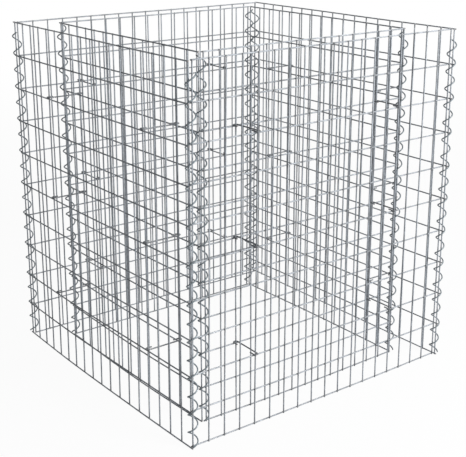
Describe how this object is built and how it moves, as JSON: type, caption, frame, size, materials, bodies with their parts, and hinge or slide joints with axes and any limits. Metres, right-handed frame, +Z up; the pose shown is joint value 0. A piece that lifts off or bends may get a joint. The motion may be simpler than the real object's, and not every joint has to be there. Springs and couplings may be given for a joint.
{
  "type": "gabion raised bed",
  "caption": "Square double-skinned planter cage of galvanised welded mesh, joined by corner spirals and spacer hooks, for stones between its skins and soil inside.",
  "frame": {"origin": "on the ground, at the centre of the square that the cage stands on", "axes": "+Z up, +X to the right and +Y to the back of the cage, with its front face towards -Y"},
  "size_m": [0.9366, 0.9246, 1.0039],
  "materials": {
    "mesh_wire": "hot-dip galvanised, satin, lightly dulled",
    "spiral_wire": "galvanised spring wire, satin",
    "spacer_wire": "galvanised, satin"
  },
  "bodies": {
    "root": {"outer_panel_front": "mesh_wire", "outer_panel_right": "mesh_wire", "outer_panel_back": "mesh_wire", "outer_panel_left": "mesh_wire", "inner_panel_front": "mesh_wire", "inner_panel_right": "mesh_wire", "inner_panel_back": "mesh_wire", "inner_panel_left": "mesh_wire", "outer_spiral_front_left": "spiral_wire", "outer_spiral_front_right": "spiral_wire", "outer_spiral_back_right": "spiral_wire", "outer_spiral_back_left": "spiral_wire", "inner_spiral_front_left": "spiral_wire", "inner_spiral_front_right": "spiral_wire", "inner_spiral_back_right": "spiral_wire", "inner_spiral_back_left": "spiral_wire", "spacer_front_a_low": "spacer_wire", "spacer_front_a_middle": "spacer_wire", "spacer_front_a_high": "spacer_wire", "spacer_front_b_low": "spacer_wire", "spacer_front_b_middle": "spacer_wire", "spacer_front_b_high": "spacer_wire", "spacer_right_a_low": "spacer_wire", "spacer_right_a_middle": "spacer_wire", "spacer_right_a_high": "spacer_wire", "spacer_right_b_low": "spacer_wire", "spacer_right_b_middle": "spacer_wire", "spacer_right_b_high": "spacer_wire", "spacer_back_a_low": "spacer_wire", "spacer_back_a_middle": "spacer_wire", "spacer_back_a_high": "spacer_wire", "spacer_back_b_low": "spacer_wire", "spacer_back_b_middle": "spacer_wire", "spacer_back_b_high": "spacer_wire", "spacer_left_a_low": "spacer_wire", "spacer_left_a_middle": "spacer_wire", "spacer_left_a_high": "spacer_wire", "spacer_left_b_low": "spacer_wire", "spacer_left_b_middle": "spacer_wire", "spacer_left_b_high": "spacer_wire"}
  },
  "joints": []
}
